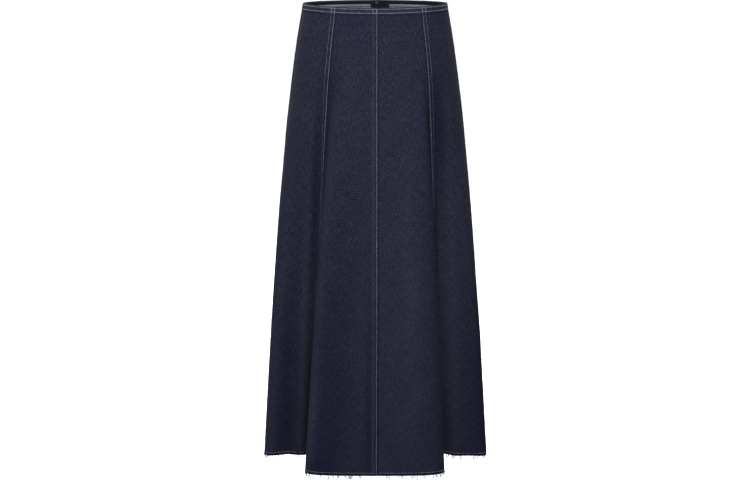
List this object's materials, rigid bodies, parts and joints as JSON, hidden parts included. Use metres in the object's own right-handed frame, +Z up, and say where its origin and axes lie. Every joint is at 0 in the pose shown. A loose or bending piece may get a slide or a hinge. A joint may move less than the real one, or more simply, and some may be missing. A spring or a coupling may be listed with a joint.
{
  "type": "denim skirt",
  "caption": "Long dark denim skirt of flared panels, worn hollow, with a stitched waist edge, topstitched seams, a buttoned back closure and a frayed hem.",
  "frame": {"origin": "middle of the waist opening, half way down the doubled waist edge, where the wearer holds the skirt up", "axes": "+Z up along the skirt, out of the waist; the front faces -Y; +X towards the wearer's left"},
  "size_m": [0.4625, 0.3658, 0.9533],
  "materials": {
    "denim": "rigid dark indigo twill, matt, lighter on its wrong side, with pale grey topstitching",
    "pale_thread": "pale grey topstitching thread and the undyed threads of the frayed hem",
    "zip_tape": "woven polyester tape, navy",
    "dark_metal": "dark nickel, satin"
  },
  "bodies": {
    "root": {"front_gore_left": "denim", "front_gore_right": "denim", "side_front_gore_left": "denim", "side_front_gore_right": "denim", "side_back_gore_left": "denim", "side_back_gore_right": "denim", "back_gore_left": "denim", "back_gore_right": "denim", "waist_facing": "denim", "fly_shield": "denim", "front_gore_fringe_left": "pale_thread", "front_gore_fringe_right": "pale_thread", "side_front_gore_fringe_left": "pale_thread", "side_front_gore_fringe_right": "pale_thread", "side_back_gore_fringe_left": "pale_thread", "side_back_gore_fringe_right": "pale_thread", "back_gore_fringe_left": "pale_thread", "back_gore_fringe_right": "pale_thread", "zip_tape": "zip_tape", "zip_slider": "dark_metal", "waist_button": "dark_metal", "waist_button_back": "dark_metal"}
  },
  "joints": []
}
